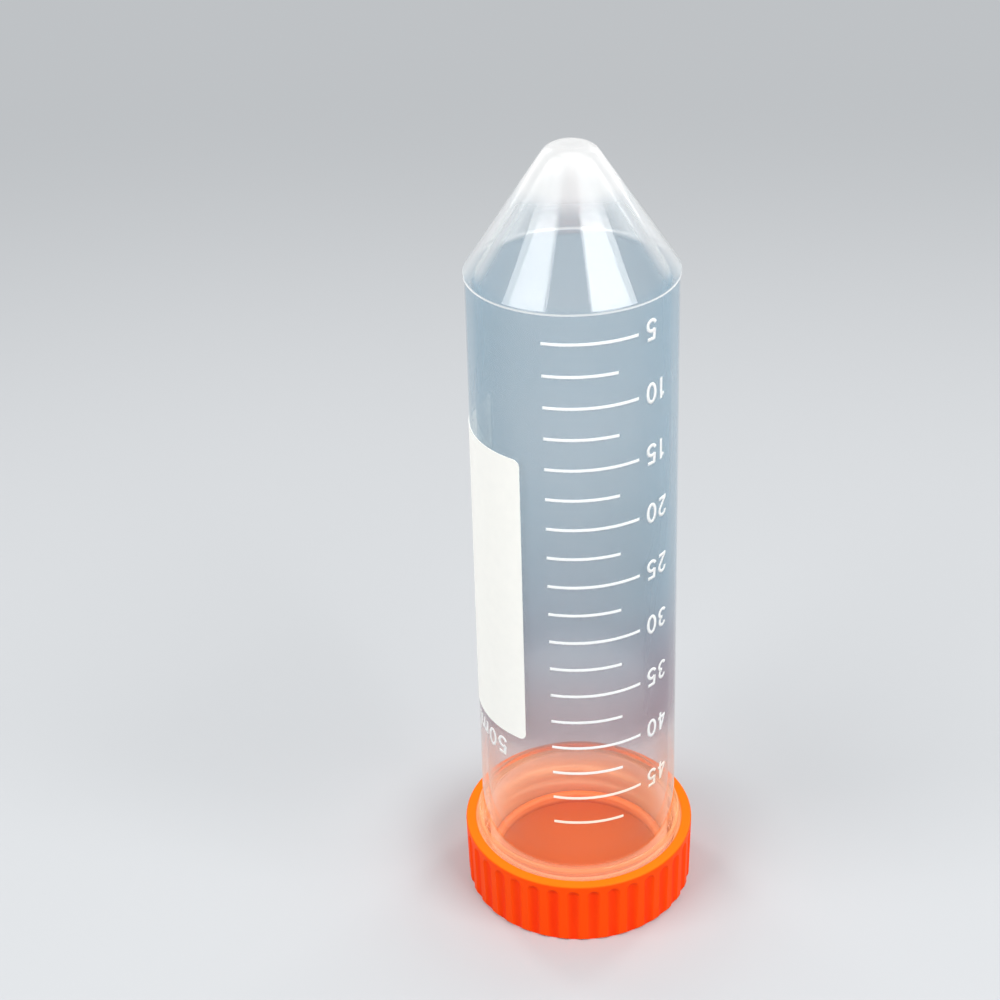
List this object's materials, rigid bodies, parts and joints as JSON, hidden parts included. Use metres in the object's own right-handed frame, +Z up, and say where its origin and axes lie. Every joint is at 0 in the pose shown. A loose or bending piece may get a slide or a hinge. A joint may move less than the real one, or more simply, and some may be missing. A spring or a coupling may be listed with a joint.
{
  "type": "conical centrifuge tube",
  "caption": "Conical centrifuge tube in milky clear plastic with a printed volume scale and a white writing panel, standing upside down on its ribbed orange screw cap.",
  "frame": {"origin": "centre of the cap's flat outer face, which the closed tube stands on", "axes": "+Z up the tube's axis from the cap to the tip of the cone; -Y is the front, where the volume scale is; +X is to the right of it"},
  "size_m": [0.0346, 0.0346, 0.1178],
  "materials": {
    "cap_plastic": "satin",
    "seal_plastic": "satin",
    "tube_plastic": "gloss",
    "ink": "matte"
  },
  "bodies": {
    "cap": {"cap": "cap_plastic"},
    "seal": {"plug_seal": "seal_plastic"},
    "tube": {"tube": "tube_plastic", "scale_lines": "ink", "writing_patch": "ink"}
  },
  "joints": [
    {"name": "cap_turn", "type": "hinge", "parent": "cap", "child": "seal", "pos_m": [0, 0, 0], "axis": [0, 0, 1], "range_deg": [0, 1080]},
    {"name": "tube_lift", "type": "slide", "parent": "seal", "child": "tube", "axis": [0, 0, 1], "range_m": [0, 0.00961]}
  ],
  "couplings": [
    {"joint": "tube_lift", "follows": "cap_turn", "m_per_rad": 0.0005093}
  ]
}
